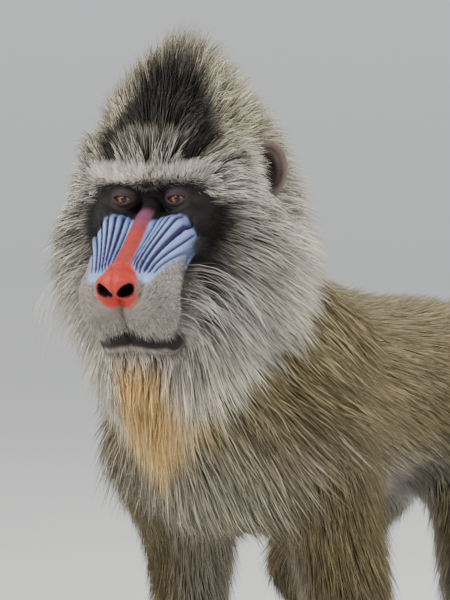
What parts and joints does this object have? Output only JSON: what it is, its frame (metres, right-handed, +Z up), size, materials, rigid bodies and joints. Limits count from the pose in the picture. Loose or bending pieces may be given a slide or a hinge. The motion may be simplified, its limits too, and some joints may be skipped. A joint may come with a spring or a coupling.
{
  "type": "mandrill figure",
  "caption": "Life-size still figure of an adult mandrill on all fours, with a ridged muzzle, a pointed crest, a ruff, a beard and a short tail.",
  "frame": {"origin": "on the floor under the middle of the animal's box", "axes": "the animal faces -Y, its left side is at +X, +Z is up"},
  "size_m": [0.3343, 0.7746, 0.7785],
  "materials": {
    "coat": "coarse olive-brown hair with grey-brown roots and yellowish tips, paler on the belly",
    "mane": "long grey-brown hair with pale tips, black at the front of the crest; bare ridged face in pale blue and red",
    "beard": "long yellow-orange hair fading to off-white at the cheeks",
    "dark_skin": "dark brown-grey creased skin with short dark hair on the back",
    "ear_skin": "dusky pink bare skin",
    "eye": "wet amber-brown iris with a dark rim and a clear gloss"
  },
  "bodies": {
    "root": {"head": "mane", "lower_jaw": "beard", "torso": "coat", "neck": "mane", "tail": "coat", "eye_left": "eye", "ear_left": "ear_skin", "upper_arm_left": "coat", "forearm_left": "coat", "hand_left": "dark_skin", "thigh_left": "coat", "shin_left": "coat", "foot_left": "dark_skin", "eye_right": "eye", "ear_right": "ear_skin", "upper_arm_right": "coat", "forearm_right": "coat", "hand_right": "dark_skin", "thigh_right": "coat", "shin_right": "coat", "foot_right": "dark_skin"}
  },
  "joints": []
}
